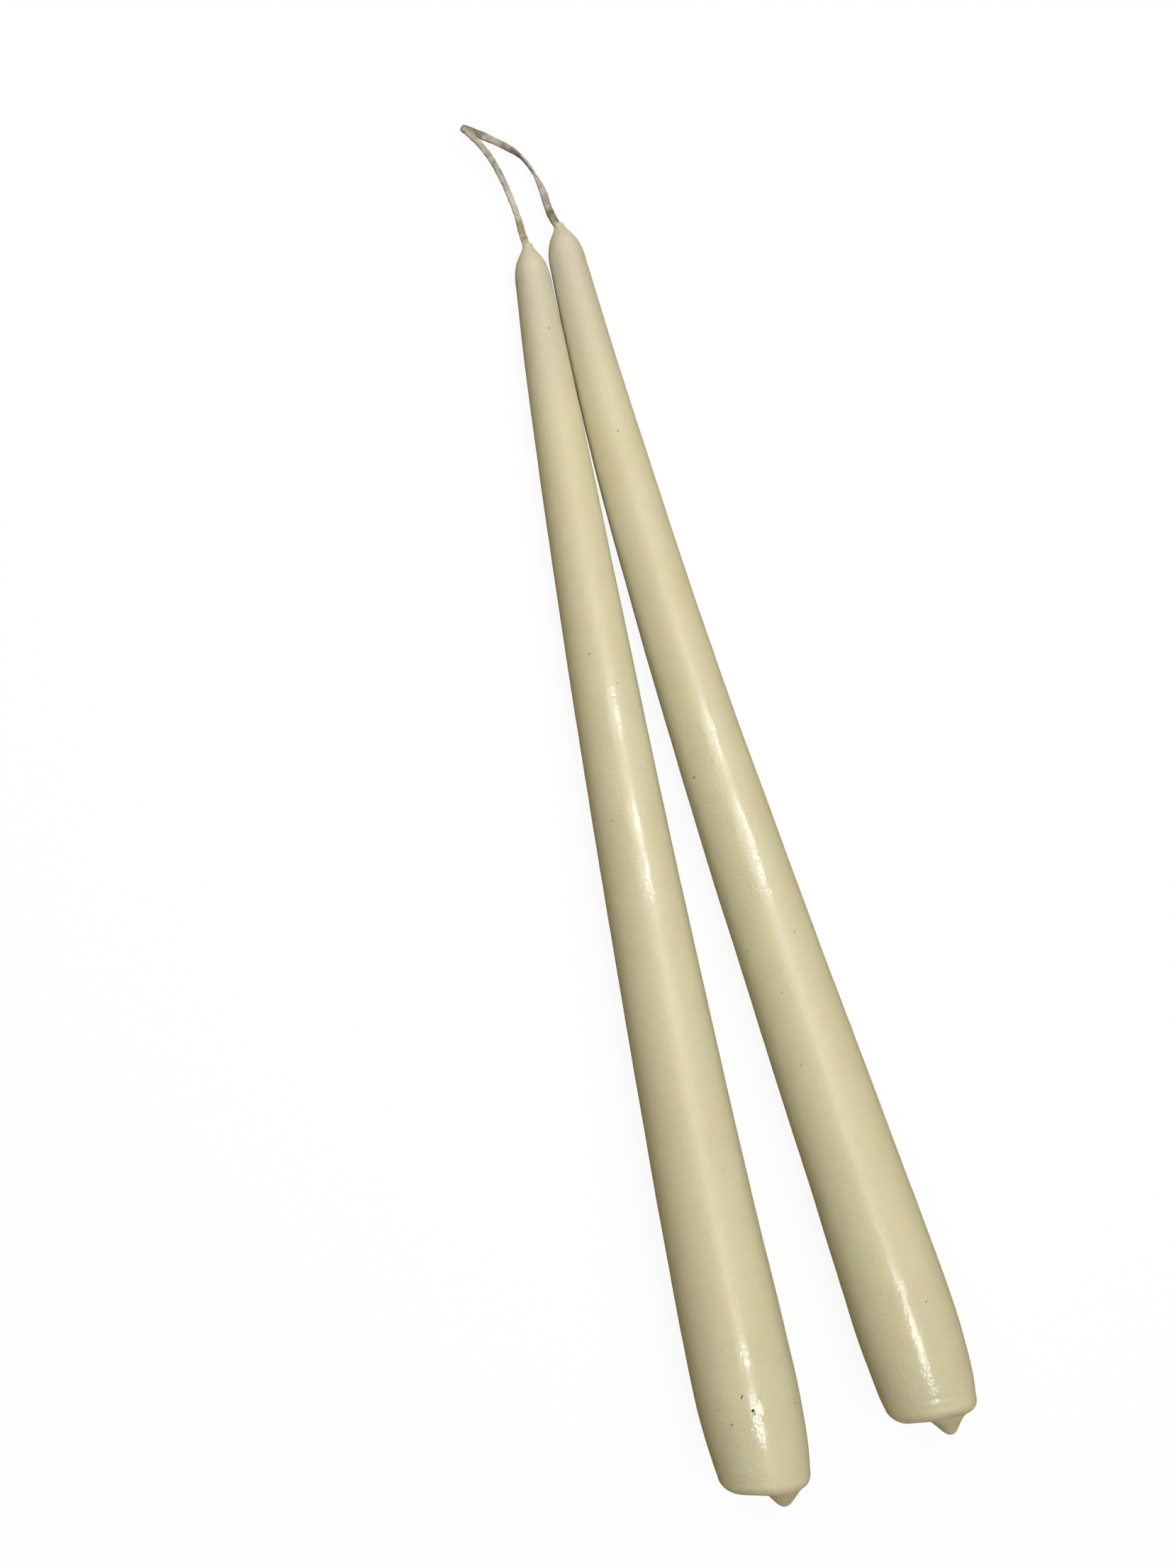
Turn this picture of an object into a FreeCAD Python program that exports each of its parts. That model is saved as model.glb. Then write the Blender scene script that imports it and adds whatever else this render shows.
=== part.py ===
"""Pair of hand-dipped taper candles, still joined by the one uncut wick they were dipped on.

The pair lies on its side as it comes to rest: each taper touches the ground, z = 0, along the
straight part of its cone. +Y runs from the butts to the tips, +X to the right-hand taper, +Z up.
The origin is on the ground, below the middle of the wax. Lengths are in millimetres.
"""
import FreeCAD, Part
import math
import os

# wax of one taper, measured along its axis from the butt face
LENGTH = 294.0                # butt face to the foot of the bare wick
CONE_BUTT_DIAMETER = 25.9     # the straight cone, carried on to the butt face
CONE_TIP_DIAMETER = 9.75      # the straight cone, carried on to the foot of the wick
BUTT_DIAMETER = 20.8          # where the wax draws in to the butt face
BUTT_CURVE = 30.0             # length over which the butt draws in
BUTT_EDGE = 4.0               # rounding round the butt face
SLANT_REACH = 22.0            # length over which the slant of the butt face fades out
SHOULDER_LENGTH = 72.0        # length below the tip over which the cone eases inwards
SHOULDER_DEPTH = 1.1          # how far it has eased in at the tip
TIP_LENGTH = 9.4              # rounded tip, in which the wax closes on the wick
COLLAR_LENGTH = 0.3           # wax drawn up the bare wick
COLLAR_SKIN = 0.25            # wax left round the wick where the collar ends

# drip that set on the butt face
DRIP_LENGTH = 4.6
DRIP_DIAMETER = 3.0           # of its rounded end
DRIP_WAIST = 5.4              # diameter where its foot begins to flare
DRIP_FOOT_DIAMETER = 9.4      # where the flare meets the butt face
DRIP_FLARE = 2.0              # length of the flare
DRIP_ROOT = 1.6               # how deep it is rooted in the butt

# braided wick
WICK_DIAMETER = 1.8           # across the corners of its section
WICK_SIDES = 8
WICK_COVER = 4.0              # wax between the butt face and the end of the wick
WICK_TURN = 2.4               # where it turns towards the loop, above the foot of the bare wick
WICK_RUN = 9.0                # straight run through the tip up to that turn

# how the pair lies
SPLAY = 6.88                  # degrees between the two tapers
STAGGER = 3.2                 # the right-hand taper lies this much further along
TOUCH_GAP = 0.1               # between the two skins where they come closest

# each taper: its side, the bow of its axis at mid-length, the skew of that bow towards the butt,
# the slope of its butt face towards the right and upwards, and how far right and up the drip sits
TAPERS = {
    "left_taper": {"side": -1, "bow": -2.16, "skew": -0.2, "slant": (-0.21, 0.33), "drip": (4.0, -1.4)},
    "right_taper": {"side": 1, "bow": -3.05, "skew": 2.55, "slant": (-0.15, 0.33), "drip": (2.8, 0.3)},
}

# free loop of the wick from the left tip to the right one, counted from half way between the tips
LOOP = (
    (-4.8, 9.6, 4.3),
    (-6.3, 16.9, 3.9),
    (-8.7, 23.8, 3.7),
    (-12.1, 27.9, 3.6),
    (-10.9, 29.1, 0.9),
    (-6.0, 26.1, 0.9),
    (-0.2, 21.5, 0.9),
    (2.9, 14.4, 2.2),
    (3.45, 8.2, 3.5),
)

EDGE_BANDS = 6                # bands of round sections: of the rounded edge, of the drawn-in butt,
BUTT_BANDS = 6                # of the straight cone, which follows the bowed axis, and of the shoulder
CONE_BANDS = 5
SHOULDER_BANDS = 3
STATIONS = 200                # heights tried where the closest approach is sought
BULGE = 0.71                  # handles of the tip's curve, as shares of its height
SWEEP = 0.22
RUN_SHARE = 0.45              # share of a run that each rounded corner of the wick may take
UP = FreeCAD.Vector(0, 0, 1)

CONE_SLOPE = (CONE_BUTT_DIAMETER - CONE_TIP_DIAMETER) / 2.0 / LENGTH
PITCH = math.atan(CONE_SLOPE)  # the axis sinks towards the tip, so the cone lies flat
HALF_SPLAY = math.radians(SPLAY / 2.0)


def cone_radius(at):
    """Radius of the straight cone at a distance from the butt face."""
    return CONE_BUTT_DIAMETER / 2.0 - CONE_SLOPE * at


def wax_radius(at):
    """Radius below the dome: the cone, drawn in at the butt and eased in at the shoulder."""
    butt = max(0.0, 1.0 - at / BUTT_CURVE)
    shoulder = max(0.0, 1.0 - (LENGTH - at) / SHOULDER_LENGTH)
    tuck = (CONE_BUTT_DIAMETER - BUTT_DIAMETER) / 2.0
    return cone_radius(at) - tuck * butt ** 2 - SHOULDER_DEPTH * shoulder ** 2


def bend(taper, at):
    """Sideways offset of a taper's bowed axis from its chord."""
    t = at / LENGTH
    return 4.0 * t * (1.0 - t) * (taper["bow"] + taper["skew"] * (1.0 - 2.0 * t))


def heading(taper):
    """Angle of a taper's chord from +Y, positive towards +X."""
    return -taper["side"] * HALF_SPLAY


def sideways(taper, at):
    """X of a taper's axis, counted from its butt."""
    return at * math.sin(heading(taper)) + bend(taper, at) * math.cos(heading(taper))


def width_between(left_at, right_at):
    """Width between the two skins at one Y, if both butts stood at one X; below zero they overlap."""
    left, right = TAPERS["left_taper"], TAPERS["right_taper"]
    axes = sideways(right, right_at) - sideways(left, left_at)
    return axes - wax_radius(left_at) - wax_radius(right_at)


def butt_spacing():
    """Distance between the butts that leaves the skins TOUCH_GAP apart where they come closest."""
    reach = LENGTH - TIP_LENGTH - STAGGER
    heights = [STAGGER + reach * i / STATIONS for i in range(STATIONS)]
    return TOUCH_GAP - min(width_between(at, at - STAGGER) for at in heights)


def axis_point(taper, at):
    """Point of a taper's axis at a distance from its butt face."""
    x = taper["side"] * butt_spacing() / 2.0 + sideways(taper, at)
    y = (DRIP_LENGTH - LENGTH - COLLAR_LENGTH + taper["side"] * STAGGER) / 2.0
    y += at * math.cos(heading(taper)) - bend(taper, at) * math.sin(heading(taper))
    return FreeCAD.Vector(x, y, cone_radius(at) * math.cos(PITCH))


def axis_frame(taper, at):
    """Placement on a taper's axis: local Z towards the tip, local X upwards, local Y to the right."""
    step = LENGTH / STATIONS
    along = axis_point(taper, at + step) - axis_point(taper, at - step)
    right = along.cross(UP)
    return FreeCAD.Placement(axis_point(taper, at), FreeCAD.Rotation(right.cross(along), right, along, "ZYX"))


def placed(shape, frame, offset=FreeCAD.Vector()):
    """Shape moved by a local offset and then into a frame."""
    shape.Placement = frame * FreeCAD.Placement(offset, FreeCAD.Rotation())
    return shape


def profile_point(radius, height):
    """Point of a profile that is turned about local Z."""
    return FreeCAD.Vector(radius, 0, height)


def line(start, end):
    """Straight edge."""
    return Part.LineSegment(start, end).toShape()


def arc(start, middle, end):
    """Arc edge through three points."""
    return Part.Arc(start, middle, end).toShape()


def quarter_round(start, end, centre):
    """Quarter circle from start to end about a centre."""
    bulge = (start + end) * 0.5 - centre
    return arc(start, centre + bulge * math.sqrt(2.0), end)


def turned(outline):
    """Solid turned about local Z from the edges of a closed outline."""
    return Part.Face(Part.Wire(outline)).revolve(FreeCAD.Vector(), UP, 360)


def slant_at(taper, at):
    """Slope of a section: that of the butt face, which fades out along the axis."""
    rest = max(0.0, 1.0 - at / SLANT_REACH)
    return math.hypot(*taper["slant"]) * rest * rest * (3.0 - 2.0 * rest)


def slanted(taper, at):
    """Placement on a taper's axis, turned so that local X climbs the slope of the section there."""
    right, up = taper["slant"]
    spin = FreeCAD.Rotation(UP, math.degrees(math.atan2(right, up)))
    tilt = FreeCAD.Rotation(FreeCAD.Vector(0, -1, 0), math.degrees(math.atan(slant_at(taper, at))))
    return axis_frame(taper, at) * FreeCAD.Placement(FreeCAD.Vector(), spin * tilt)


def section(taper, at, radius):
    """Round section across a taper: a circle, or where it slants the ellipse that is as wide."""
    stretch = math.hypot(1.0, slant_at(taper, at))
    ring = Part.Circle(FreeCAD.Vector(), UP, radius)
    if stretch > 1.0:
        high, side = FreeCAD.Vector(radius * stretch, 0, 0), FreeCAD.Vector(0, radius, 0)
        ring = Part.Ellipse(high, side, FreeCAD.Vector())
    return placed(Part.Wire([ring.toShape()]), slanted(taper, at))


def steps(start, end, bands):
    """Start of each of a number of equal bands."""
    return [start + (end - start) * i / bands for i in range(bands)]


def shaft(taper):
    """Butt, cone and shoulder: round sections along the bowed axis, from the slanting butt face up."""
    shoulder, tip = LENGTH - SHOULDER_LENGTH, LENGTH - TIP_LENGTH
    face_radius = wax_radius(BUTT_EDGE) - BUTT_EDGE
    rings = []
    for turn in steps(0.0, math.pi / 2.0, EDGE_BANDS):
        at, out = BUTT_EDGE * (1.0 - math.cos(turn)), BUTT_EDGE * math.sin(turn)
        rings.append(section(taper, at, face_radius + out))
    straight = steps(BUTT_EDGE, BUTT_CURVE, BUTT_BANDS) + steps(BUTT_CURVE, shoulder, CONE_BANDS)
    for at in straight + steps(shoulder, tip, SHOULDER_BANDS) + [tip]:
        rings.append(section(taper, at, wax_radius(at)))
    return Part.makeLoft(rings, True, True)


def tip(taper):
    """Rounded tip in one curve: it bulges from the shaft and then sweeps up the wick as a collar."""
    foot, end_radius = LENGTH - TIP_LENGTH, WICK_DIAMETER / 2.0 + COLLAR_SKIN
    height = TIP_LENGTH + COLLAR_LENGTH
    rim, end = profile_point(wax_radius(foot), 0), profile_point(end_radius, height)
    flank = Part.BezierCurve()
    flank.setPoles([rim, rim + UP * height * BULGE, end - UP * height * SWEEP, end])
    top, centre = profile_point(0, height), profile_point(0, 0)
    dome = turned([flank.toShape(), line(end, top), line(top, centre), line(centre, rim)])
    return placed(dome, axis_frame(taper, foot))


def drip(taper):
    """Drip square to the butt face: a rounded stub with a broad flared foot, off centre."""
    end = DRIP_DIAMETER / 2.0
    broad = DRIP_FOOT_DIAMETER / 2.0
    root, foot = profile_point(broad, DRIP_ROOT), profile_point(broad, 0)
    neck, side = profile_point(DRIP_WAIST / 2.0, -DRIP_FLARE), profile_point(end, end - DRIP_LENGTH)
    tip_point, middle = profile_point(0, -DRIP_LENGTH), profile_point(0, DRIP_ROOT)
    stub = turned([
        line(middle, root),
        line(root, foot),
        line(foot, neck),
        line(neck, side),
        quarter_round(side, tip_point, profile_point(0, side.z)),
        line(tip_point, middle),
    ])
    right, up = taper["drip"]
    climb = math.atan2(*taper["slant"])
    across = right * math.cos(climb) - up * math.sin(climb)
    along = right * math.sin(climb) + up * math.cos(climb)
    return placed(stub, slanted(taper, 0.0), FreeCAD.Vector(along, across, 0))


def loop_points():
    """Points of the free loop, from the left tip to the right one."""
    tips = [axis_point(taper, LENGTH) for taper in TAPERS.values()]
    middle = (tips[0] + tips[1]) * 0.5
    return [FreeCAD.Vector(middle.x + x, middle.y + y, z) for x, y, z in LOOP]


def buried_arc(taper):
    """The wick inside one taper: a long arc up its bowed axis, from just above the butt face."""
    top = LENGTH + WICK_TURN - WICK_RUN
    return Part.Arc(*[axis_point(taper, at) for at in (WICK_COVER, (WICK_COVER + top) / 2.0, top)])


def rounded_run(points):
    """Straight runs joined by tangent arcs as large as the runs allow; also gives the arcs' radii."""
    edges, radii = [], []
    start = points[0]
    for before, corner, after in zip(points, points[1:], points[2:]):
        back, on = before - corner, after - corner
        reach = RUN_SHARE * min(back.Length, on.Length)
        half_turn = (math.pi - back.getAngle(on)) / 2.0
        radius = reach / math.tan(half_turn)
        back.normalize()
        on.normalize()
        enter, leave = corner + back * reach, corner + on * reach
        middle = corner + (back + on).normalize() * (radius / math.cos(half_turn) - radius)
        edges += [line(start, enter), arc(enter, middle, leave)]
        radii.append(radius)
        start = leave
    return edges + [line(start, points[-1])], radii


def wick():
    """One uncut wick as a plain round tube: up the left taper, round the loop, down the right one."""
    arcs = [buried_arc(taper) for taper in TAPERS.values()]
    tops = [up.EndPoint for up in arcs]
    turns = [up.EndPoint + up.tangent(up.LastParameter)[0] * WICK_RUN for up in arcs]
    runs, radii = rounded_run([tops[0], turns[0]] + loop_points() + [turns[1], tops[1]])
    path = Part.Wire([arcs[0].toShape()] + runs + [arcs[1].toShape()])
    along = arcs[0].tangent(arcs[0].FirstParameter)[0]
    start = FreeCAD.Placement(arcs[0].StartPoint, FreeCAD.Rotation(UP, along))
    corners = [math.radians(360.0 * i / WICK_SIDES) for i in range(WICK_SIDES + 1)]
    ring = [FreeCAD.Vector(math.cos(a), math.sin(a), 0) * (WICK_DIAMETER / 2.0) for a in corners]
    ring = placed(Part.makePolygon(ring), start)
    tube = path.makePipeShell([ring], True, False)
    section = Part.Face(ring).Area
    print("wick length %.1f" % path.Length)
    print("wick volume over section times length %.4f" % (tube.Volume / section / path.Length))
    print("wick arc radii", " ".join("%.1f" % radius for radius in radii))
    return tube


def wax(taper, wick_tube):
    """One taper in one solid of wax, with the channel that the wick fills."""
    whole = shaft(taper).fuse([tip(taper), drip(taper)])
    return whole.cut(wick_tube)


def main():
    os.makedirs("parts", exist_ok=True)
    tube = wick()
    nodes = {"wick": tube}
    for name, taper in TAPERS.items():
        nodes[name] = wax(taper, tube)
    for name, shape in nodes.items():
        solid = shape.Solids[0] if len(shape.Solids) == 1 else shape
        print(name, solid.ShapeType, "valid", solid.isValid(), "volume %.0f" % solid.Volume)
        solid.exportStep("parts/" + name + ".step")


main()
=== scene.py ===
"""Looks for the joined pair of taper candles: two bowed tapers of ivory wax and the flat braided wick
that joins them.

Lengths below are in millimetres in the part's own frame, and MM turns them into metres. +Y runs from
the butts to the tips, +X to the right-hand taper and +Z up from the ground.
"""
import math

import bpy
import numpy as np
from mathutils import Matrix


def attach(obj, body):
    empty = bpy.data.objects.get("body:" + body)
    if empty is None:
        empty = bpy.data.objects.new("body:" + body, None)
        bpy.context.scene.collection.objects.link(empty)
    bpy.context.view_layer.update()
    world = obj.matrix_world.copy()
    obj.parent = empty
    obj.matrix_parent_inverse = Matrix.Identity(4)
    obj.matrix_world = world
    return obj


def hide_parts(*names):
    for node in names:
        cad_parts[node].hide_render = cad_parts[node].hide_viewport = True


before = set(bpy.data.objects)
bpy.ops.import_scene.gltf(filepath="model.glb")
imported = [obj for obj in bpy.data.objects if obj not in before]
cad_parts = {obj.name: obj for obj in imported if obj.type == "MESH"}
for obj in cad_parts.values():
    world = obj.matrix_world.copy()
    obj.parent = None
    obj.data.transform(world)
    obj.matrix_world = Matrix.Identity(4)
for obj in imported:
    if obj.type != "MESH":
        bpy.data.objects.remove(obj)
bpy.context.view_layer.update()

MM = 0.001

# the wax of one taper, along its axis from the butt face
LENGTH = 294.0                # butt face to the foot of the bare wick
CONE_BUTT_RADIUS = 12.95      # the straight cone, carried on to the butt face
CONE_TIP_RADIUS = 4.875       # the straight cone, carried on to the foot of the wick
SLOPE = (CONE_BUTT_RADIUS - CONE_TIP_RADIUS) / LENGTH
TUCK = 2.55                   # how far the wax has drawn in at the butt face
BUTT_CURVE = 30.0             # length over which it draws in
SLANT_REACH = 22.0            # length over which the slant of the butt face fades out
SHOULDER_LENGTH = 72.0        # length below the tip over which the cone eases inwards
SHOULDER_DEPTH = 1.1          # how far it has eased in at the tip
TIP_LENGTH = 9.4              # rounded tip, in which the wax closes on the wick
COLLAR_LENGTH = 0.3           # wax drawn up the bare wick
COLLAR_RADIUS = 1.15
BULGE = 0.71                  # handles of the tip's curve, as shares of its height
SWEEP = 0.22
DRIP_LENGTH = 4.6             # drip that set on the butt face

# how the pair lies
HALF_SPLAY = math.radians(3.44)
STAGGER = 3.2                 # the right-hand taper lies this much further along
BUTT_SPACING = 43.675         # between the two axes at the butt faces

# each taper: its side, bow and skew of its axis, slope of its butt face to the right and upwards, radius of
# the face's rounded edge, and the seed of the waves in its skin
# swellings of the face, the drip first: place right and up, half widths to the left, to the right and
# upwards, and height
# lumps and creases of the skin: distance from the butt face, angle round the axis from the right over
# the top, half length, half width in degrees, and height
TAPERS = {
    "left_taper": {
        "side": -1, "bow": -2.16, "skew": -0.2, "slant": (-0.197, 0.317), "edge": 3.74, "seed": 11,
        "swellings": (
            (3.89, -1.39, 3.97, 3.76, 3.2, DRIP_LENGTH),
            (-3.88, 7.0, 4.08, 4.08, 4.08, -0.38),
        ),
        "lumps": (
            (3.0, 10.0, 4.0, 38.0, -0.28),
            (8.6, 176.0, 1.0, 8.0, -0.20),
            (6.8, 169.0, 1.4, 10.0, 0.12),
            (25.5, 92.0, 2.2, 5.0, -0.10),
            (20.5, 94.5, 2.0, 5.0, -0.08),
            (15.0, 92.0, 3.0, 3.0, 0.05),
            (30.0, 120.0, 6.0, 30.0, 0.12),
        ),
    },
    "right_taper": {
        "side": 1, "bow": -3.05, "skew": 2.55, "slant": (-0.204, 0.391), "edge": 3.39, "seed": 23,
        "swellings": (
            (2.29, 0.67, 3.63, 3.3, 3.2, DRIP_LENGTH),
            (1.28, 7.5, 2.21, 2.21, 2.21, -0.55),
            (-8.5, 2.0, 2.93, 2.93, 2.93, 0.30),
        ),
        "lumps": (
            (5.0, 172.0, 6.0, 38.0, 0.45),
            (3.0, 10.0, 4.0, 38.0, -0.46),
            (6.9, 104.0, 0.80, 17.0, -0.08),
            (5.6, 102.0, 0.90, 18.0, 0.06),
            (6.6, 86.5, 0.80, 6.0, -0.07),
            (5.5, 85.0, 0.90, 6.0, 0.07),
            (38.0, 60.0, 8.0, 25.0, 0.10),
        ),
    },
}
LUMPS_END = 60.0              # lumps stay nearer to the butt face than this
LUMPS_RADIUS = 8.0            # radius inside which they fade out on the face
SWELLING_REACH = 4.0          # length over which a swelling of the face fades out up the skin
SWELLING_POWER = 1.05         # how squarely a swelling ends, where 1 is a plain bell

# centre line of the free wick, from inside the left tip to inside the right one
WICK_ROUTE = (
    (-4.52, 143.20, 4.96),
    (-4.22, 146.90, 4.86),
    (-4.70, 149.90, 4.70),
    (-4.60, 153.60, 4.55),
    (-5.14, 158.75, 4.30),
    (-6.01, 164.10, 3.95),
    (-7.31, 169.12, 3.55),
    (-9.28, 172.96, 3.50),
    (-10.59, 174.68, 3.70),
    (-11.35, 175.55, 3.85),
    (-11.95, 176.60, 3.35),
    (-11.50, 177.85, 1.20),
    (-10.30, 177.60, 0.66),
    (-8.55, 176.40, 0.66),
    (-5.01, 174.05, 0.68),
    (-2.00, 171.67, 0.80),
    (0.25, 169.40, 1.05),
    (1.57, 166.48, 1.40),
    (2.46, 163.07, 2.15),
    (2.96, 159.51, 3.00),
    (2.90, 155.95, 3.75),
    (3.20, 152.60, 4.40),
    (4.18, 149.80, 4.80),
    (4.17, 146.40, 4.96),
)
WICK_WIDTH = 1.6
WICK_THICKNESS = 0.78

# the stretches of wick inside the wax: radius, and where they start and end along the axis
INNER_WICK_RADIUS = 0.85
INNER_WICK_START = 4.2
INNER_WICK_END = LENGTH - 3.0

# which way the ribbon's width points, at shares of the wick's free length
WICK_FACING = (
    (0.00, (1.00, 0.00, 0.00)),
    (0.30, (0.96, 0.25, 0.05)),
    (0.44, (0.75, 0.66, 0.00)),
    (0.58, (0.60, 0.80, 0.00)),
    (0.64, (0.45, 0.65, 0.50)),
    (0.69, (0.02, -0.05, 1.00)),
    (0.75, (-0.10, -0.20, 0.97)),
    (0.785, (-0.70, -0.20, 0.60)),
    (0.825, (-0.96, -0.10, 0.15)),
    (1.00, (-1.00, 0.00, 0.00)),
)

# width and thickness of the ribbon against WICK_WIDTH and WICK_THICKNESS, at shares of its free length
WICK_GIRTH = (
    (0.00, 1.05, 1.20),
    (0.125, 1.02, 1.00),
    (0.145, 0.86, 1.00),
    (0.38, 0.88, 0.95),
    (0.43, 0.88, 1.05),
    (0.465, 0.92, 1.15),
    (0.49, 0.90, 1.15),
    (0.53, 1.02, 1.00),
    (0.56, 1.14, 1.00),
    (0.60, 0.94, 1.00),
    (0.68, 0.86, 0.86),
    (0.75, 0.90, 0.86),
    (0.82, 1.06, 1.00),
    (0.90, 1.18, 1.05),
    (1.00, 1.10, 1.30),
)
PLY_PITCH = 1.5               # length of one ply along the braid
PLY_RELIEF = 0.10             # share of the thickness by which a ply swells
PLY_SLANT = 1.7               # how far a ply lags from the middle to the edge, in half pitches
SECTION_ACROSS = 0.6          # powers that square off the section, across and through
SECTION_THROUGH = 0.7
UNEVENNESS = 0.05             # share by which the width and the thickness come and go
WICK_CLEARANCE = 0.02         # between the wick and the ground

# waves that dipping leaves in the skin: shortest and longest, how many, and how steep
LONG_WAVES = (14.0, 70.0, 26, 0.0022)
SHORT_WAVES = (2.5, 9.0, 60, 0.0022)
WAVES_START = 4.0             # length over which they grow from the butt face
WAVES_STOP = 6.0              # and over which they fade before the tip

# points round the meshes and rows along them; a taper's rows stand closer up to FINE_END
AROUND = 216
FACE_ROWS = 62
FACE_CENTRE = 0.03            # radius of the butt face's first ring
EDGE_ROWS = 25
BUTT_ROWS = 117
SHAFT_ROWS = 189
TIP_ROWS = 43
FINE_END = 34.0
WICK_AROUND = 44
WICK_ROWS = 700
INNER_WICK_AROUND = 16
INNER_WICK_ROWS = 160


def cone_radius(at):
    """Radius of the straight cone at a distance from the butt face."""
    return CONE_BUTT_RADIUS - SLOPE * at


def wax_radius(at):
    """The cone, less a parabola that draws in the butt and another that eases in the shoulder."""
    butt = np.maximum(0.0, 1.0 - at / BUTT_CURVE)
    shoulder = np.maximum(0.0, 1.0 - (LENGTH - at) / SHOULDER_LENGTH)
    return cone_radius(at) - TUCK * butt ** 2 - SHOULDER_DEPTH * shoulder ** 2


def axis_points(taper, at):
    """Points of a taper's bowed axis: a chord at half the splay, plus a parabola with a skew."""
    t = at / LENGTH
    bend = 4.0 * t * (1.0 - t) * (taper["bow"] + taper["skew"] * (1.0 - 2.0 * t))
    heading = -taper["side"] * HALF_SPLAY
    x = taper["side"] * BUTT_SPACING / 2.0 + at * math.sin(heading) + bend * math.cos(heading)
    y = (DRIP_LENGTH - LENGTH - COLLAR_LENGTH + taper["side"] * STAGGER) / 2.0
    y = y + at * math.cos(heading) - bend * math.sin(heading)
    return np.stack([x, y, cone_radius(at) * math.cos(math.atan(SLOPE))], axis=-1)


def unit(vectors):
    """Vectors scaled to length one."""
    return vectors / np.linalg.norm(vectors, axis=-1, keepdims=True)


def axis_frames(taper, at):
    """Right, up and along directions at stations of the axis."""
    along = unit(axis_points(taper, at + 1.0) - axis_points(taper, at - 1.0))
    right = unit(np.cross(along, [0.0, 0.0, 1.0]))
    return right, np.cross(right, along), along


def skin_mesh(name, rows, along):
    """Closed mesh from rows of points round a tube; its first and last rows close on one pole each.

    The UV map "along" holds metres along the tube and the share of a turn around it. along is given in
    millimetres, one for each row or one for each point.
    """
    count, around = rows.shape[:2]
    poles = np.stack([rows[0].mean(axis=0), rows[-1].mean(axis=0)])
    row, column = np.meshgrid(np.arange(count - 1), np.arange(around), indexing="ij")
    following = (column + 1) % around
    quads = np.stack([row * around + column, row * around + following,
                      (row + 1) * around + following, (row + 1) * around + column], axis=-1).reshape(-1, 4)
    ring = np.arange(around)
    turn = (ring + 1) % around
    first = np.stack([np.full(around, count * around), turn, ring], axis=-1)
    last = np.stack([np.full(around, count * around + 1), (count - 1) * around + ring,
                     (count - 1) * around + turn], axis=-1)
    mesh = bpy.data.meshes.new(name)
    vertices = np.concatenate([rows.reshape(-1, 3), poles]) * MM
    mesh.vertices.add(len(vertices))
    mesh.vertices.foreach_set("co", vertices.ravel())
    corners = np.concatenate([quads.ravel(), first.ravel(), last.ravel()])
    sizes = np.concatenate([np.full(len(quads), 4), np.full(2 * around, 3)])
    mesh.loops.add(len(corners))
    mesh.loops.foreach_set("vertex_index", corners)
    mesh.polygons.add(len(sizes))
    mesh.polygons.foreach_set("loop_start", np.concatenate([[0], np.cumsum(sizes)[:-1]]))
    mesh.polygons.foreach_set("use_smooth", np.ones(len(sizes), dtype=bool))
    mesh.update(calc_edges=True)
    mesh.validate()
    along = np.broadcast_to(along.reshape(count, -1), (count, around))
    distance = np.concatenate([along.ravel(), along[[0, -1]].mean(axis=1)])[corners] * MM
    share = np.append(np.tile(ring / around, count), [0.5, 0.5])[corners]
    past_the_seam = (column == around - 1)[..., None] & np.array([0, 1, 1, 0], dtype=bool)
    wrapped = np.concatenate([past_the_seam.ravel(), np.zeros(6 * around, dtype=bool)])
    layer = mesh.uv_layers.new(name="along")
    layer.data.foreach_set("uv", np.stack([distance, share + wrapped], axis=-1).astype(np.float32).ravel())
    return mesh


def add_piece(name, mesh, material, slot, *nodes):
    """Object at the origin that rides on the one body and stands for CAD nodes."""
    mesh.materials.append(material)
    piece = bpy.data.objects.new(name, mesh)
    bpy.context.scene.collection.objects.link(piece)
    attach(piece, "root")
    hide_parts(*nodes)
    return piece


# camera, at the place and angle that the photograph gives: where it stands, and its directions to the
# picture's right, down and ahead
CAMERA_PLACE = (-59.29, 35.14, 277.52)
CAMERA_RIGHT = (0.958812, -0.244336, 0.144850)
CAMERA_DOWN = (-0.248146, -0.968678, 0.008580)
CAMERA_AHEAD = (0.138215, -0.044161, -0.989420)
FOCAL_PIXELS = 1661.0
PICTURE_HEIGHT = 2212.0
SENSOR = 36.0


def add_camera():
    """Camera whose lens gives the picture's height to the sensor's longer side, with no shift."""
    camera = bpy.data.objects.new("camera", bpy.data.cameras.new("camera"))
    bpy.context.scene.collection.objects.link(camera)
    camera.data.sensor_width = SENSOR
    camera.data.lens = SENSOR * FOCAL_PIXELS / PICTURE_HEIGHT
    camera.data.clip_start = 0.01
    axes = np.array([CAMERA_RIGHT, [-v for v in CAMERA_DOWN], [-v for v in CAMERA_AHEAD]]).T
    matrix = Matrix(axes.tolist()).to_4x4()
    matrix.translation = [v * MM for v in CAMERA_PLACE]
    camera.matrix_world = matrix
    bpy.context.scene.camera = camera


def route_points():
    """Points along the free wick's centre line: a smooth spline whose control points are the route."""
    curve = bpy.data.curves.new("wick_route", "CURVE")
    curve.dimensions = "3D"
    spline = curve.splines.new("NURBS")
    spline.points.add(len(WICK_ROUTE) - 1)
    spline.points.foreach_set("co", [v for point in WICK_ROUTE for v in (*[c * MM for c in point], 1.0)])
    spline.order_u = 3
    spline.use_endpoint_u = True
    spline.resolution_u = 24
    holder = bpy.data.objects.new("wick_route", curve)
    line = bpy.data.meshes.new_from_object(holder)
    points = np.empty(len(line.vertices) * 3)
    line.vertices.foreach_get("co", points)
    bpy.data.objects.remove(holder)
    bpy.data.curves.remove(curve)
    bpy.data.meshes.remove(line)
    return points.reshape(-1, 3) / MM


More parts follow.
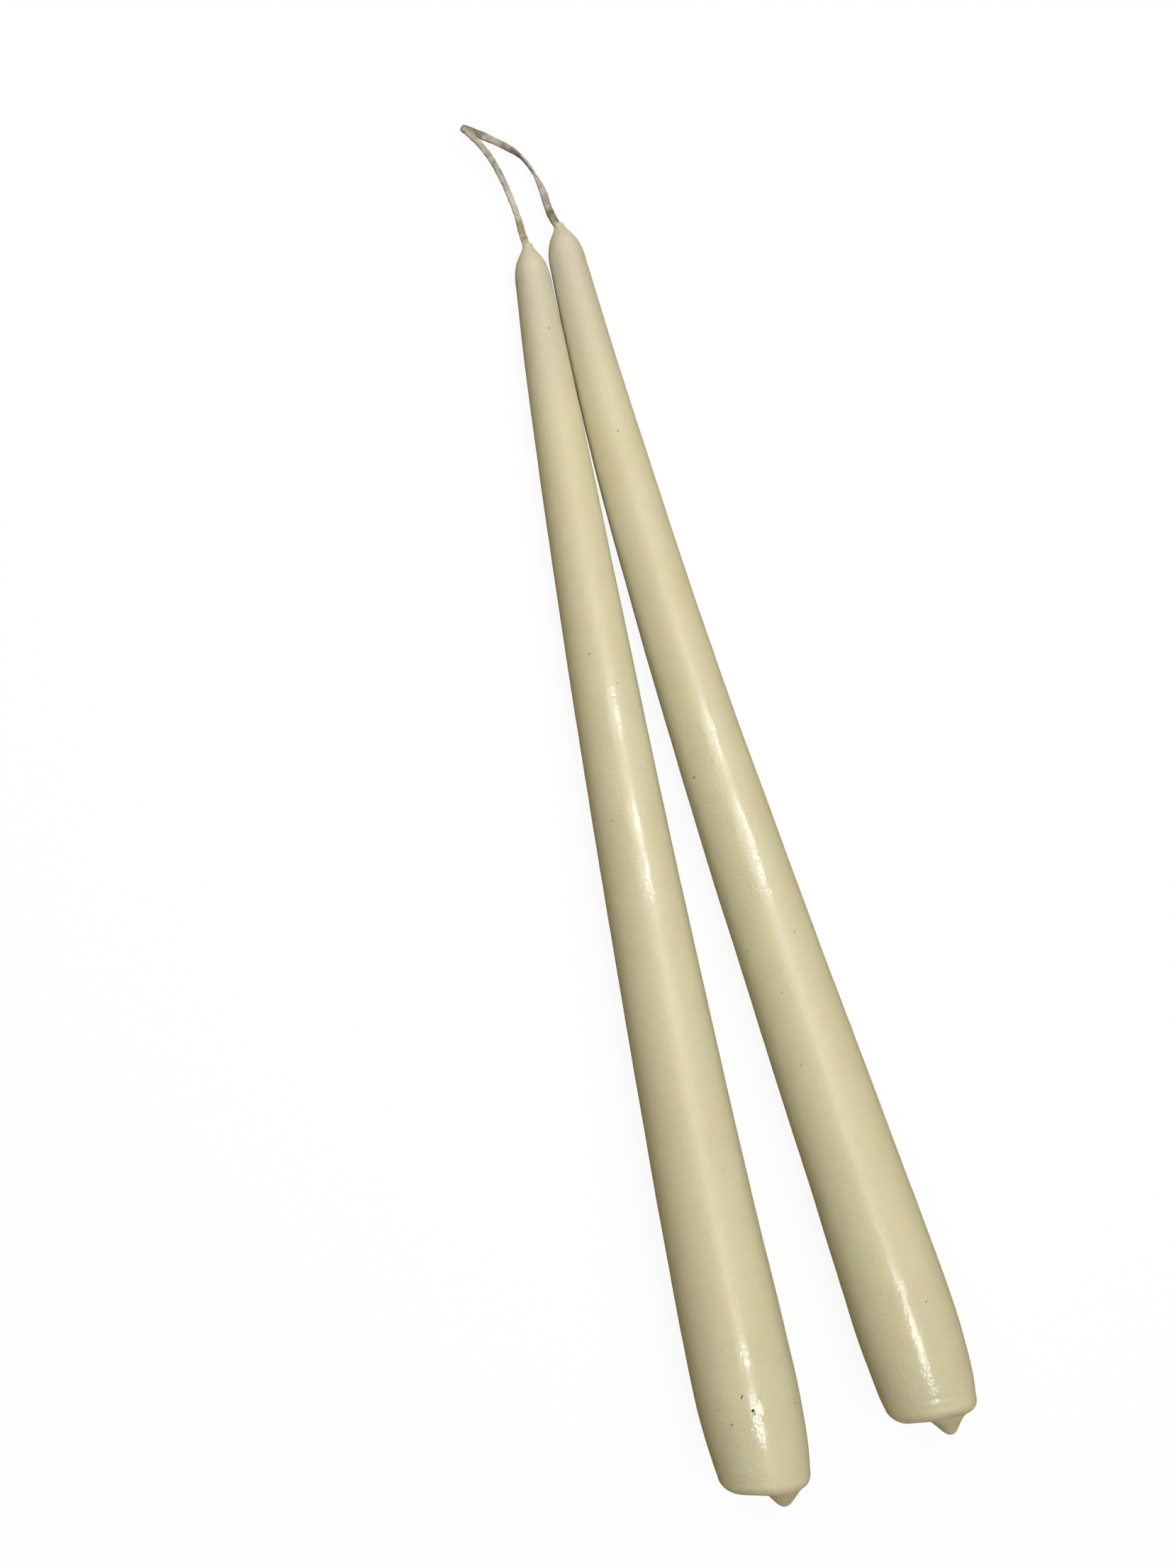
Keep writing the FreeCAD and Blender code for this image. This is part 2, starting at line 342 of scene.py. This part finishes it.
def along_path(path, count):
    """The path's points at even steps, with the distance run at each."""
    run = np.concatenate([[0.0], np.cumsum(np.linalg.norm(np.diff(path, axis=0), axis=1))])
    at = np.linspace(0.0, run[-1], count)
    return np.stack([np.interp(at, run, path[:, i]) for i in range(3)], axis=-1), at


def stations(share, table):
    """Columns of a table of stations, read between its rows at the shares given."""
    table = np.array(table)
    return np.stack([np.interp(share, table[:, 0], column) for column in table[:, 1:].T], axis=-1)


def ribbon_rows(path, at):
    """Flat braid: a rounded oblong carried along the path, its width turned as the stations say.

    The outline is a superellipse. Four columns of slanting plies swell it: a cosine of the distance
    along, shifted by how far across a point lies, leans one way on one half of the width and the other
    way on the other half. Slow sines make the width and the thickness uneven, and no point goes below the
    ground.
    """
    share = at / at[-1]
    facing = stations(share, [(station, *vector) for station, vector in WICK_FACING])
    width, thickness = stations(share, WICK_GIRTH).T[..., None] * [[[WICK_WIDTH]], [[WICK_THICKNESS]]] / 2.0
    tangent = unit(np.gradient(path, axis=0))
    wide = unit(facing - (facing * tangent).sum(axis=1, keepdims=True) * tangent)
    thick = np.cross(tangent, wide)
    angle = np.linspace(0.0, 2.0 * math.pi, WICK_AROUND, endpoint=False)[None, :]
    across = np.sign(np.cos(angle)) * np.abs(np.cos(angle)) ** SECTION_ACROSS
    height = np.sign(np.sin(angle)) * np.abs(np.sin(angle)) ** SECTION_THROUGH
    phase = 2.0 * math.pi * at[:, None] / PLY_PITCH
    ply = np.cos(phase + PLY_SLANT * math.pi * np.abs(across)) * np.cos(2.0 * math.pi * across)
    swell = 1.0 + PLY_RELIEF * ply + UNEVENNESS * np.sin(0.9 * at[:, None] + 2.0) * across
    narrow = 1.0 + UNEVENNESS * np.sin(1.9 * at[:, None]) * np.sin(0.7 * at[:, None] + 1.0)
    narrow = narrow + 0.02 * np.cos(phase + 0.5 * math.pi * np.sign(across))
    rows = (path[:, None] + (across * narrow * width)[..., None] * wide[:, None]
            + (height * swell * thickness)[..., None] * thick[:, None])
    rows[..., 2] = np.maximum(rows[..., 2], WICK_CLEARANCE)
    return rows


def add_wick(material):
    """The free loop as one flat braid, and the two stretches that the wax holds as round rods."""
    points, at = along_path(route_points(), WICK_ROWS)
    mesh = skin_mesh("wick_loop", ribbon_rows(points, at), at)
    loop = add_piece("wick_loop", mesh, material, "wick", "wick")
    inside = np.linspace(INNER_WICK_START, INNER_WICK_END, INNER_WICK_ROWS)
    angle = np.linspace(0.0, 2.0 * math.pi, INNER_WICK_AROUND, endpoint=False)[None, :, None]
    for name, taper in TAPERS.items():
        right, up, _ = axis_frames(taper, inside)
        ring = np.cos(angle) * right[:, None] - np.sin(angle) * up[:, None]
        rows = axis_points(taper, inside)[:, None] + INNER_WICK_RADIUS * ring
        add_piece("wick_in_" + name, skin_mesh("wick_in_" + name, rows, inside), material, "wick", "wick")


def bezier(start, low, high, end, t):
    """Cubic Bezier values at shares t of the curve."""
    rest = 1.0 - t
    return rest ** 3 * start + 3.0 * rest ** 2 * t * low + 3.0 * rest * t ** 2 * high + t ** 3 * end


def taper_stations(taper):
    """Rings of one taper's skin from the middle of the butt face to the top of the collar, as arrays of
    the distance along the axis and the radius.

    The rings grow across the face, a quarter circle rounds its edge, the shaft follows the wax's radius,
    the tip is one Bezier curve and the last rings draw in over the collar's top.
    """
    edge, tip = taper["edge"], LENGTH - TIP_LENGTH
    face = float(wax_radius(edge)) - edge
    turn = np.linspace(0.0, math.pi / 2.0, EDGE_ROWS + 1)[1:]
    shaft = np.concatenate([np.linspace(edge, FINE_END, BUTT_ROWS + 1)[1:],
                            np.linspace(FINE_END, tip, SHAFT_ROWS + 1)[1:]])
    t = np.linspace(0.0, 1.0, TIP_ROWS + 1)[1:]
    base, top = float(wax_radius(tip)), TIP_LENGTH + COLLAR_LENGTH
    rise = bezier(0.0, BULGE * top, (1.0 - SWEEP) * top, top, t)
    flank = bezier(base, base, COLLAR_RADIUS, COLLAR_RADIUS, t)
    closing = COLLAR_RADIUS * np.array([0.9, 0.6, 0.25])
    at = [np.zeros(FACE_ROWS), edge * (1.0 - np.cos(turn)), shaft, tip + rise,
          np.full(len(closing), LENGTH + COLLAR_LENGTH)]
    radius = [np.linspace(FACE_CENTRE, face, FACE_ROWS), face + edge * np.sin(turn), wax_radius(shaft),
              flank, closing]
    return np.concatenate(at), np.concatenate(radius)


def waves(points, seed, shortest, longest, count, steepness):
    """Sum of plane waves with random directions and lengths, each as high as its length and slope give."""
    draw = np.random.default_rng(seed)
    length = shortest * (longest / shortest) ** draw.random(count)
    number = unit(draw.normal(size=(count, 3))) * (2.0 * math.pi / length)[:, None]
    height = steepness * length / (2.0 * math.pi)
    return np.cos(points @ number.T + draw.random(count) * 2.0 * math.pi) @ height


def taper_rows(taper):
    """Points of one taper's skin, ring by ring, and the distance along the axis of each point.

    A ring is a circle square to the axis, and bell-shaped lumps and creases change its radius. Near the
    butt every point also slides along the axis by the slope of the butt face times its place across, and
    that slope fades out as a smooth step. The face's swellings, the drip among them, are bells too: they
    push the points straight out of the face, with a longer flank on one side, and fade out up the skin.
    On the drip the distance is less than zero, by how far it stands out. The waves that dipping leaves
    move the skin in and out last, and no point goes below the ground.
    """
    at, radius = taper_stations(taper)
    inside = np.minimum(at, LENGTH)
    right, up, along = axis_frames(taper, inside)
    centre = axis_points(taper, inside) + along * (at - inside)[:, None]
    at = at[:, None]
    angle = np.linspace(0.0, 2.0 * math.pi, AROUND, endpoint=False)
    cos, sin = np.cos(angle)[None, :], -np.sin(angle)[None, :]
    radius = radius[:, None] * np.ones((1, AROUND))
    on_skin = np.clip(radius / LUMPS_RADIUS, 0.0, 1.0) * (at < LUMPS_END)
    for place, round_at, half_length, half_width, height in taper["lumps"]:
        turned = (np.degrees(np.arctan2(sin, cos)) - round_at + 180.0) % 360.0 - 180.0
        bell = ((at - place) / half_length) ** 2 + (turned / half_width) ** 2
        radius = radius + height * on_skin * np.exp(-bell)
    x, y = radius * cos, radius * sin
    rest = np.maximum(0.0, 1.0 - at / SLANT_REACH)
    slide = rest * rest * (3.0 - 2.0 * rest) * (taper["slant"][0] * x + taper["slant"][1] * y)
    push = np.zeros_like(x)
    for place_x, place_y, left, wide, high, height in taper["swellings"]:
        bell = ((x - place_x) / np.where(x > place_x, wide, left)) ** 2 + ((y - place_y) / high) ** 2
        push = push + height * np.exp(-bell ** SWELLING_POWER - (at / SWELLING_REACH) ** 2)
    out = unit(taper["slant"][0] * right[0] + taper["slant"][1] * up[0] - along[0])
    rows = (centre[:, None] + x[..., None] * right[:, None] + y[..., None] * up[:, None]
            + slide[..., None] * along[:, None] + push[..., None] * out)
    skin = np.clip(at / WAVES_START, 0.0, 1.0) * np.clip((LENGTH - at) / WAVES_STOP, 0.0, 1.0)
    swell = skin * (waves(rows, taper["seed"], *LONG_WAVES) + waves(rows, taper["seed"] + 1, *SHORT_WAVES))
    rows = rows + swell[..., None] * (cos[..., None] * right[:, None] + sin[..., None] * up[:, None])
    rows[..., 2] = np.maximum(rows[..., 2], 0.0)
    return rows, at - push


def node_maker(tree):
    """Shorthand for adding nodes, setting their sockets and linking them."""
    def make(kind, inputs=None, **settings):
        node = tree.nodes.new(kind)
        for key, value in settings.items():
            setattr(node, key, value)
        for key, value in (inputs or {}).items():
            if isinstance(value, bpy.types.NodeSocket):
                tree.links.new(value, node.inputs[key])
            else:
                node.inputs[key].default_value = value
        return node
    return make


def new_material(name):
    """Material with an empty node tree, its maker and its output node."""
    material = bpy.data.materials.new(name)
    material.use_nodes = True
    material.node_tree.nodes.clear()
    make = node_maker(material.node_tree)
    return material, make, make("ShaderNodeOutputMaterial")


def step_up(make, value, low, high, bottom=0.0, top=1.0):
    """Smooth step of a value from bottom to top between low and high."""
    return make("ShaderNodeMapRange", {"Value": value, "From Min": low, "From Max": high, "To Min": bottom,
                                       "To Max": top}, interpolation_type="SMOOTHSTEP").outputs["Result"]


def mixed(make, share, first, second):
    """Colour mixed from first to second by a share."""
    node = make("ShaderNodeMix", {"Factor": share, "A": first, "B": second}, data_type="RGBA")
    return node.outputs["Result"]


def combined(make, operation, first, second):
    """Two values put together by one of the Math node's operations."""
    return make("ShaderNodeMath", {0: first, 1: second}, operation=operation).outputs[0]


def near(make, place, spot, radius, core, top=1.0):
    """Share that rises to top from a radius round a spot to a core, which is a share of that radius."""
    away = make("ShaderNodeVectorMath", {0: place, 1: tuple(v * MM for v in spot)}, operation="DISTANCE")
    return step_up(make, away.outputs["Value"], radius * MM, core * radius * MM, 0.0, top)


# pits and specks of soot in the wax: place, radius and how dark, 0 to 1
SPECKS = (
    ((-22.40, -120.8, 24.4), 0.50, 1.0),
    ((-22.20, -121.5, 24.4), 0.55, 0.50),
    ((-24.15, -117.4, 23.9), 0.30, 0.90),
    ((-23.85, -117.0, 23.9), 0.28, 0.90),
    ((-27.6, -123.3, 22.6), 0.34, 0.75),
    ((-11.8, -123.9, 20.1), 0.30, 0.60),
    ((-11.9, -124.8, 20.2), 0.32, 0.70),
    ((-19.3, 14.1, 15.5), 0.22, 0.60),
    ((-32.8, -137.3, 14.2), 0.45, 0.50),
    ((1.9, 18.7, 13.3), 0.36, 0.85),
    ((14.7, -20.9, 18.8), 0.34, 0.60),
    ((26.6, -108.9, 21.6), 0.20, 0.60),
    ((26.9, -109.4, 21.4), 0.20, 0.60),
    ((22.6, -110.1, 23.7), 0.30, 0.75),
)

# where the skin is polished, fading out to the radius given: place and radius
POLISHED = (
    ((17.6, -107.0, 23.8), 9.0),
    ((18.3, -117.0, 24.2), 11.0),
    ((19.1, -127.5, 24.3), 11.0),
    ((-21.9, -123.0, 24.4), 9.5),
    ((-20.2, -108.5, 23.8), 6.0),
    ((-12.9, 38.0, 15.7), 9.0),
    ((-14.5, 12.0, 17.2), 10.0),
    ((-15.1, 1.0, 17.9), 10.0),
    ((8.3, 27.5, 16.5), 11.0),
    ((9.9, 6.0, 17.7), 11.0),
    ((10.7, -5.0, 18.3), 11.0),
)

IVORY_PALE = (0.635, 0.590, 0.392, 1.0)
IVORY_DEEP = (0.620, 0.572, 0.370, 1.0)
# tan of the drip: partly the thin wax's own tint, partly painted shade, as the drip's underside faces away
# from the light; the grain takes a little of it too
DRIP_TAN_AND_SHADE = (0.50, 0.44, 0.27, 1.0)
SOOT = (0.06, 0.045, 0.025, 1.0)
TIP_GREY = (0.560, 0.515, 0.378, 1.0)

# where the drip's tan and painted shade, the tip's colour and the dull sheen fade in, in metres from the butt
# face
DRIP_STRETCH = (-0.0006, -0.0022)
TIP_STRETCH = (0.245, 0.288)
DULL_STRETCH = (0.19, 0.28)

# roughness of the sheen over most of the wax, near the tips, in soot and in the coat of polish
SATIN = 0.32
DULL = 0.45
SOOTY = 1.0
POLISH = 0.1


def wax_material():
    """Ivory wax: soft mottling, light that sinks in, specks of soot where it doesn't, and a satin sheen
    that is duller near the tips. The polished places are a clear coat, and the ripple and crackle of the
    last dip break it and the sheen into glints."""
    material, make, output = new_material("ivory_wax")
    place = make("ShaderNodeTexCoord").outputs["Object"]
    uv = make("ShaderNodeUVMap", uv_map="along").outputs["UV"]
    along = make("ShaderNodeSeparateXYZ", {0: uv}).outputs[0]
    cloud = make("ShaderNodeTexNoise", {"Vector": place, "Scale": 60.0, "Detail": 3.0})
    grain = make("ShaderNodeTexNoise", {"Vector": place, "Scale": 2400.0, "Detail": 2.0})
    colour = mixed(make, step_up(make, cloud.outputs["Fac"], 0.3, 0.7), IVORY_DEEP, IVORY_PALE)
    colour = mixed(make, step_up(make, grain.outputs["Fac"], 0.3, 0.7, 0.0, 0.10), colour, DRIP_TAN_AND_SHADE)
    # the drip: its own tan darkened with painted shade on its underside
    colour = mixed(make, step_up(make, along, *DRIP_STRETCH), colour, DRIP_TAN_AND_SHADE)
    colour = mixed(make, step_up(make, along, *TIP_STRETCH), colour, TIP_GREY)
    cells = make("ShaderNodeTexVoronoi", {"Vector": place, "Scale": 210.0})
    chosen = make("ShaderNodeSeparateColor", {0: cells.outputs["Color"]})
    dot = step_up(make, cells.outputs["Distance"], 0.062, 0.035)
    dot = combined(make, "MULTIPLY", dot, step_up(make, chosen.outputs[0], 0.55, 0.95, 0.0, 0.75))
    for spot, radius, dark in SPECKS:
        dot = combined(make, "MAXIMUM", near(make, place, spot, radius, 0.6, dark), dot)
    colour = mixed(make, dot, colour, SOOT)
    clean = combined(make, "SUBTRACT", 1.0, dot)
    polished = 0.0
    for spot, radius in POLISHED:
        polished = combined(make, "MAXIMUM", near(make, place, spot, radius, 0.1), polished)
    satin = step_up(make, along, *DULL_STRETCH, SATIN, DULL)
    rough = make("ShaderNodeMix", {"Factor": dot, "A": satin, "B": SOOTY})
    ripple = make("ShaderNodeTexNoise", {"Vector": place, "Scale": 330.0, "Detail": 2.0})
    crackle = make("ShaderNodeTexNoise", {"Vector": place, "Scale": 1300.0, "Detail": 2.0})
    broad = make("ShaderNodeBump", {"Height": ripple.outputs["Fac"], "Distance": 0.0003, "Strength": 0.30})
    fine = make("ShaderNodeBump", {"Height": crackle.outputs["Fac"], "Distance": 0.00012, "Strength": 0.8,
                                   "Normal": broad.outputs["Normal"]})
    wax = make("ShaderNodeBsdfPrincipled", {
        "Base Color": colour,
        "Roughness": rough.outputs["Result"],
        "Subsurface Weight": clean,
        "Subsurface Radius": (1.0, 0.5, 0.18),
        "Subsurface Scale": 0.005,
        "IOR": 1.5,
        "Normal": fine.outputs["Normal"],
        "Coat Weight": combined(make, "MULTIPLY", polished, clean),
        "Coat Roughness": POLISH,
        "Coat Normal": fine.outputs["Normal"],
    })
    material.node_tree.links.new(wax.outputs["BSDF"], output.inputs["Surface"])
    return material


# the free wick's colours and painted shade, in metres from its start in the left tip: where each is reached,
# and the length that all of them are spread over. The soaked bands next to the tips are the cotton's own
# colour; the dark stretch over the fold and the strand that runs back from it is painted shade, and the other
# pale and dark stretches partly painted light and shade
TINTED_LENGTH = 0.0775
WICK_TINTS_AND_SHADE = (
    (0.0000, (0.42, 0.38, 0.28, 1.0)),
    (0.0050, (0.42, 0.38, 0.29, 1.0)),
    (0.0054, (0.275, 0.205, 0.100, 1.0)),
    (0.0097, (0.30, 0.225, 0.112, 1.0)),
    (0.0100, (0.45, 0.40, 0.31, 1.0)),
    (0.0165, (0.47, 0.42, 0.33, 1.0)),
    (0.0195, (0.31, 0.275, 0.208, 1.0)),
    (0.0225, (0.22, 0.193, 0.138, 1.0)),
    (0.0255, (0.26, 0.224, 0.162, 1.0)),
    (0.0285, (0.385, 0.335, 0.24, 1.0)),
    (0.0310, (0.43, 0.375, 0.275, 1.0)),
    (0.0340, (0.29, 0.25, 0.18, 1.0)),
    (0.0380, (0.21, 0.18, 0.128, 1.0)),
    (0.0400, (0.155, 0.133, 0.086, 1.0)),
    (0.0420, (0.21, 0.18, 0.12, 1.0)),
    (0.0440, (0.24, 0.205, 0.14, 1.0)),
    (0.0490, (0.23, 0.19, 0.13, 1.0)),
    (0.0525, (0.31, 0.28, 0.22, 1.0)),
    (0.0560, (0.33, 0.285, 0.22, 1.0)),
    (0.0600, (0.33, 0.288, 0.225, 1.0)),
    (0.0630, (0.36, 0.310, 0.232, 1.0)),
    (0.0650, (0.26, 0.220, 0.155, 1.0)),
    (0.0676, (0.27, 0.225, 0.16, 1.0)),
    (0.0681, (0.130, 0.106, 0.038, 1.0)),
    (0.0712, (0.145, 0.118, 0.045, 1.0)),
    (0.0717, (0.34, 0.32, 0.26, 1.0)),
)
COTTON_PALE = (0.62, 0.56, 0.48, 1.0)
COTTON_DARK = (0.16, 0.13, 0.10, 1.0)


def wick_material():
    """Braided cotton: a mottle of pale fibres in darker ones, soaked with wax near the tapers, and painted
    shade over the fold and the strand that runs back from it.
    """
    material, make, output = new_material("braided_cotton")
    uv = make("ShaderNodeUVMap", uv_map="along").outputs["UV"]
    along = make("ShaderNodeSeparateXYZ", {0: uv}).outputs[0]
    place = make("ShaderNodeTexCoord").outputs["Object"]
    # colours along the wick: soaked bands of the cotton's own, and painted shade over the fold and the strand
    # that runs back from it
    ramp = make("ShaderNodeValToRGB", {"Fac": combined(make, "DIVIDE", along, TINTED_LENGTH)})
    stops = ramp.color_ramp.elements
    while len(stops) < len(WICK_TINTS_AND_SHADE):
        stops.new(0.5)
    for stop, (start, tint_and_shade) in zip(stops, WICK_TINTS_AND_SHADE):
        stop.position = start / TINTED_LENGTH
        stop.color = tint_and_shade
    fibre = make("ShaderNodeTexNoise", {"Vector": place, "Scale": 1500.0, "Detail": 3.0})
    blotch = make("ShaderNodeTexNoise", {"Vector": place, "Scale": 520.0, "Detail": 3.0})
    colour = mixed(make, step_up(make, blotch.outputs["Fac"], 0.45, 0.68, 0.0, 0.5), ramp.outputs["Color"],
                   COTTON_PALE)
    colour = mixed(make, step_up(make, fibre.outputs["Fac"], 0.5, 0.3, 0.0, 0.45), colour, COTTON_DARK)
    fuzz = make("ShaderNodeBump", {"Height": fibre.outputs["Fac"], "Distance": 0.0001, "Strength": 0.6})
    cotton = make("ShaderNodeBsdfPrincipled", {"Base Color": colour, "Roughness": 0.62,
                                               "Normal": fuzz.outputs["Normal"]})
    material.node_tree.links.new(cotton.outputs["BSDF"], output.inputs["Surface"])
    return material


# the floor: half its side and its height in metres, its white, what it throws back, and the share of plain
# white that the camera sees in it
FLOOR_REACH = 3.0
FLOOR_LEVEL = -0.0001
FLOOR_WHITE = (0.9, 0.9, 0.9, 1.0)
FLOOR_BOUNCE = (0.26, 0.20, 0.06, 1.0)
FLOOR_GLOW = 0.92
WHITE = (1.0, 1.0, 1.0, 1.0)


def add_floor():
    """Plain white floor. The camera sees it near white, and it throws back only a little light."""
    material, make, output = new_material("white_floor")
    path = make("ShaderNodeLightPath")
    seen = make("ShaderNodeBsdfDiffuse", {"Color": FLOOR_WHITE})
    glow = make("ShaderNodeEmission", {"Color": WHITE, "Strength": 1.0})
    dull = make("ShaderNodeBsdfDiffuse", {"Color": FLOOR_BOUNCE})
    lit = make("ShaderNodeMixShader", {"Fac": FLOOR_GLOW, 1: seen.outputs[0], 2: glow.outputs[0]})
    choose = make("ShaderNodeMixShader", {"Fac": path.outputs["Is Camera Ray"], 1: dull.outputs[0],
                                          2: lit.outputs[0]})
    material.node_tree.links.new(choose.outputs[0], output.inputs["Surface"])
    mesh = bpy.data.meshes.new("floor")
    sides = ((-1.0, -1.0), (1.0, -1.0), (1.0, 1.0), (-1.0, 1.0))
    corners = [(x * FLOOR_REACH, y * FLOOR_REACH, FLOOR_LEVEL) for x, y in sides]
    mesh.from_pydata(corners, [], [(0, 1, 2, 3)])
    mesh.materials.append(material)
    floor = bpy.data.objects.new("floor", mesh)
    bpy.context.scene.collection.objects.link(floor)


def add_lamp(name, tilt_x, tilt_y, away, size, power):
    """Area lamp that looks at the origin from a direction tilted off the vertical, in degrees."""
    lamp = bpy.data.lights.new(name, "AREA")
    lamp.shape = "RECTANGLE"
    lamp.size, lamp.size_y = size
    lamp.energy = power
    holder = bpy.data.objects.new(name, lamp)
    bpy.context.scene.collection.objects.link(holder)
    back = unit(np.array([math.tan(math.radians(tilt_x)), math.tan(math.radians(tilt_y)), 1.0]))
    side = unit(np.cross([0.0, 1.0, 0.0], back))
    matrix = Matrix(np.array([side, np.cross(back, side), back]).T.tolist()).to_4x4()
    matrix.translation = (back * away).tolist()
    holder.matrix_world = matrix


# lamps: tilt off the vertical to the right and towards the tips in degrees, distance, size in metres, power
LAMPS = {
    "over_the_pair": (3.0, 0.0, 0.50, (0.30, 0.42), 1.0),
    "beyond_the_tips": (0.0, 50.0, 1.30, (1.80, 0.50), 12.0),
    "from_the_right": (38.0, 0.0, 1.30, (0.80, 0.80), 1.6),
    "glints_at_the_butts": (2.0, -33.0, 1.30, (0.09, 0.46), 3.2),
    "glints_at_the_middle": (14.5, 2.0, 1.30, (0.11, 0.24), 2.2),
}
WORLD_STRENGTH = 0.08


def add_light():
    """A dim world that the camera sees as white, broad soft lamps overhead, beyond the tips and from the
    right, and two narrow ones that the sheen catches."""
    world = bpy.data.worlds.new("studio")
    bpy.context.scene.world = world
    world.use_nodes = True
    world.node_tree.nodes.clear()
    make = node_maker(world.node_tree)
    path = make("ShaderNodeLightPath")
    strength = make("ShaderNodeMix", {"Factor": path.outputs["Is Camera Ray"], "A": WORLD_STRENGTH, "B": 1.0})
    sky = make("ShaderNodeBackground", {"Color": WHITE, "Strength": strength.outputs["Result"]})
    output = make("ShaderNodeOutputWorld")
    world.node_tree.links.new(sky.outputs[0], output.inputs["Surface"])
    for name, settings in LAMPS.items():
        add_lamp(name, *settings)


def main():
    """Camera, cord, wax, floor and light."""
    bpy.context.scene.view_settings.view_transform = "Standard"
    add_camera()
    add_wick(wick_material())
    wax = wax_material()
    for name, taper in TAPERS.items():
        rows, along = taper_rows(taper)
        add_piece(name + "_wax", skin_mesh(name + "_wax", rows, along), wax, "wax", name)
    add_floor()
    add_light()


main()
